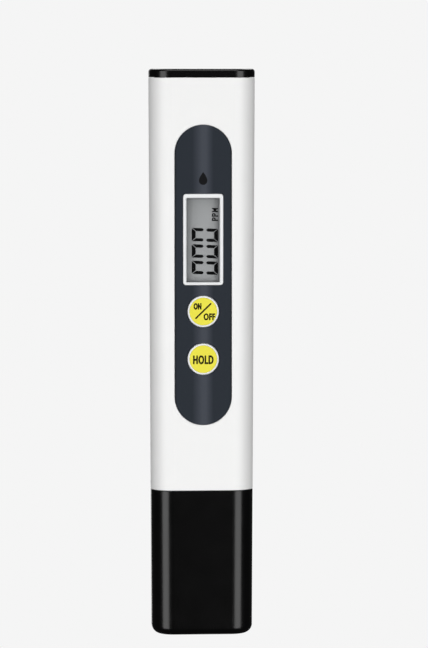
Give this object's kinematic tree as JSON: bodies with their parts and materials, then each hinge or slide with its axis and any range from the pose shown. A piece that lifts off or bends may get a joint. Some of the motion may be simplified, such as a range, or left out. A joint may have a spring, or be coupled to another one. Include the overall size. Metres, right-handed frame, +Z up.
{
  "type": "pocket water quality meter",
  "caption": "Slim pocket meter for dissolved solids in water, with a display, push buttons, a pull-off battery cap and a pull-off cap over its probe pins.",
  "frame": {"origin": "centre of the flat bottom of the protective cap, at the centre of the body's width and depth", "axes": "+Z up the long axis of the meter, display and buttons face -Y, +X to the right of someone who reads the display"},
  "size_m": [0.029, 0.0149, 0.155],
  "materials": {
    "white_abs": "satin moulded",
    "black_abs": "gloss moulded",
    "panel_film": "gloss film",
    "clear_window": "clear polished",
    "display_glass": "polished",
    "reflector": "matt grey",
    "zebra_rubber": "soft",
    "frosted_plastic": "moulded",
    "yellow_print": "satin",
    "board_green": "solder mask",
    "resin_black": "cast resin",
    "component_black": "moulded",
    "component_tan": "fired",
    "bright_steel": "plated",
    "titanium": "satin",
    "switch_black": "moulded",
    "seal_rubber": "soft"
  },
  "bodies": {
    "meter": {"housing": "white_abs", "front_panel": "panel_film", "display_bezel": "white_abs", "display_window": "clear_window", "display_front_glass": "display_glass", "display_rear_glass": "display_glass", "display_reflector": "reflector", "zebra_strip_left": "zebra_rubber", "zebra_strip_right": "zebra_rubber", "display_holder": "frosted_plastic", "switch_body_on_off": "switch_black", "switch_cover_on_off": "bright_steel", "switch_body_hold": "switch_black", "switch_cover_hold": "bright_steel", "circuit_board": "board_green", "board_screws": "bright_steel", "controller_blob": "resin_black", "amplifier_chip": "component_black", "crystal": "bright_steel", "chip_resistors": "component_black", "chip_capacitors": "component_tan", "battery_contact_positive": "bright_steel", "battery_contact_negative": "bright_steel", "probe_holder": "white_abs", "holder_seal": "seal_rubber", "cap_seal": "seal_rubber", "probe_potting": "resin_black", "probe_pin_left": "titanium", "probe_pin_right": "titanium", "temperature_sensor": "resin_black"},
    "on_off_button": {"button_on_off": "white_abs", "button_face_on_off": "yellow_print", "switch_plunger_on_off": "switch_black"},
    "hold_button": {"button_hold": "white_abs", "button_face_hold": "yellow_print", "switch_plunger_hold": "switch_black"},
    "battery_drawer": {"battery_cap": "black_abs", "battery_cap_seal": "seal_rubber", "battery_tray": "black_abs", "battery_link": "bright_steel", "battery_cell_left": "bright_steel", "battery_cell_right": "bright_steel"},
    "probe_cover": {"protective_cap": "black_abs"}
  },
  "joints": [
    {"name": "cover_pull", "type": "slide", "parent": "meter", "child": "probe_cover", "axis": [0, 0, -1], "range_m": [0, 0.03]},
    {"name": "battery_pull", "type": "slide", "parent": "meter", "child": "battery_drawer", "axis": [0, 0, 1], "range_m": [0, 0.024]},
    {"name": "on_off_press", "type": "slide", "parent": "meter", "child": "on_off_button", "axis": [0, 1, 0], "range_m": [0, 0.0003], "stiffness_N_per_m": 4000, "springref_m": -0.00015},
    {"name": "hold_press", "type": "slide", "parent": "meter", "child": "hold_button", "axis": [0, 1, 0], "range_m": [0, 0.0003], "stiffness_N_per_m": 4000, "springref_m": -0.00015}
  ]
}
